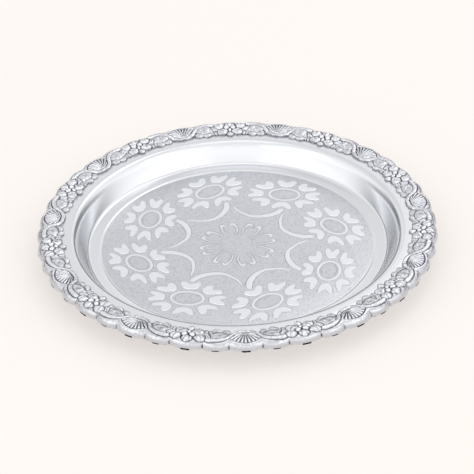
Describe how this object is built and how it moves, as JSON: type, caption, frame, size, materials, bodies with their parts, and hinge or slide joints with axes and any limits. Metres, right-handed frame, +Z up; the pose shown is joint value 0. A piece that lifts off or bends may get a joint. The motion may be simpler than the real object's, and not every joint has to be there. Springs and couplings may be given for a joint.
{
  "type": "engraved plate",
  "caption": "Round engraved metal plate with a flat base, a steep-walled shallow well and a scalloped shell-and-flower border on its flange.",
  "frame": {"origin": "Centre of the flat underside of the base, on the surface that the plate stands on.", "axes": "+Z is up, out of the well. -Y faces the viewer of the picture and +X is to the viewer's right."},
  "size_m": [0.1524, 0.1524, 0.0118],
  "materials": {
    "dish_silver": "polished silver plate, with a finely matted engraved field",
    "border_silver": "cast relief in silver plate, bright on the high parts and darker in the hollows"
  },
  "bodies": {
    "root": {"dish": "dish_silver", "border_section_01": "border_silver", "border_section_02": "border_silver", "border_section_03": "border_silver", "border_section_04": "border_silver", "border_section_05": "border_silver", "border_section_06": "border_silver", "border_section_07": "border_silver", "border_section_08": "border_silver", "border_section_09": "border_silver", "border_section_10": "border_silver", "border_section_11": "border_silver"}
  },
  "joints": []
}
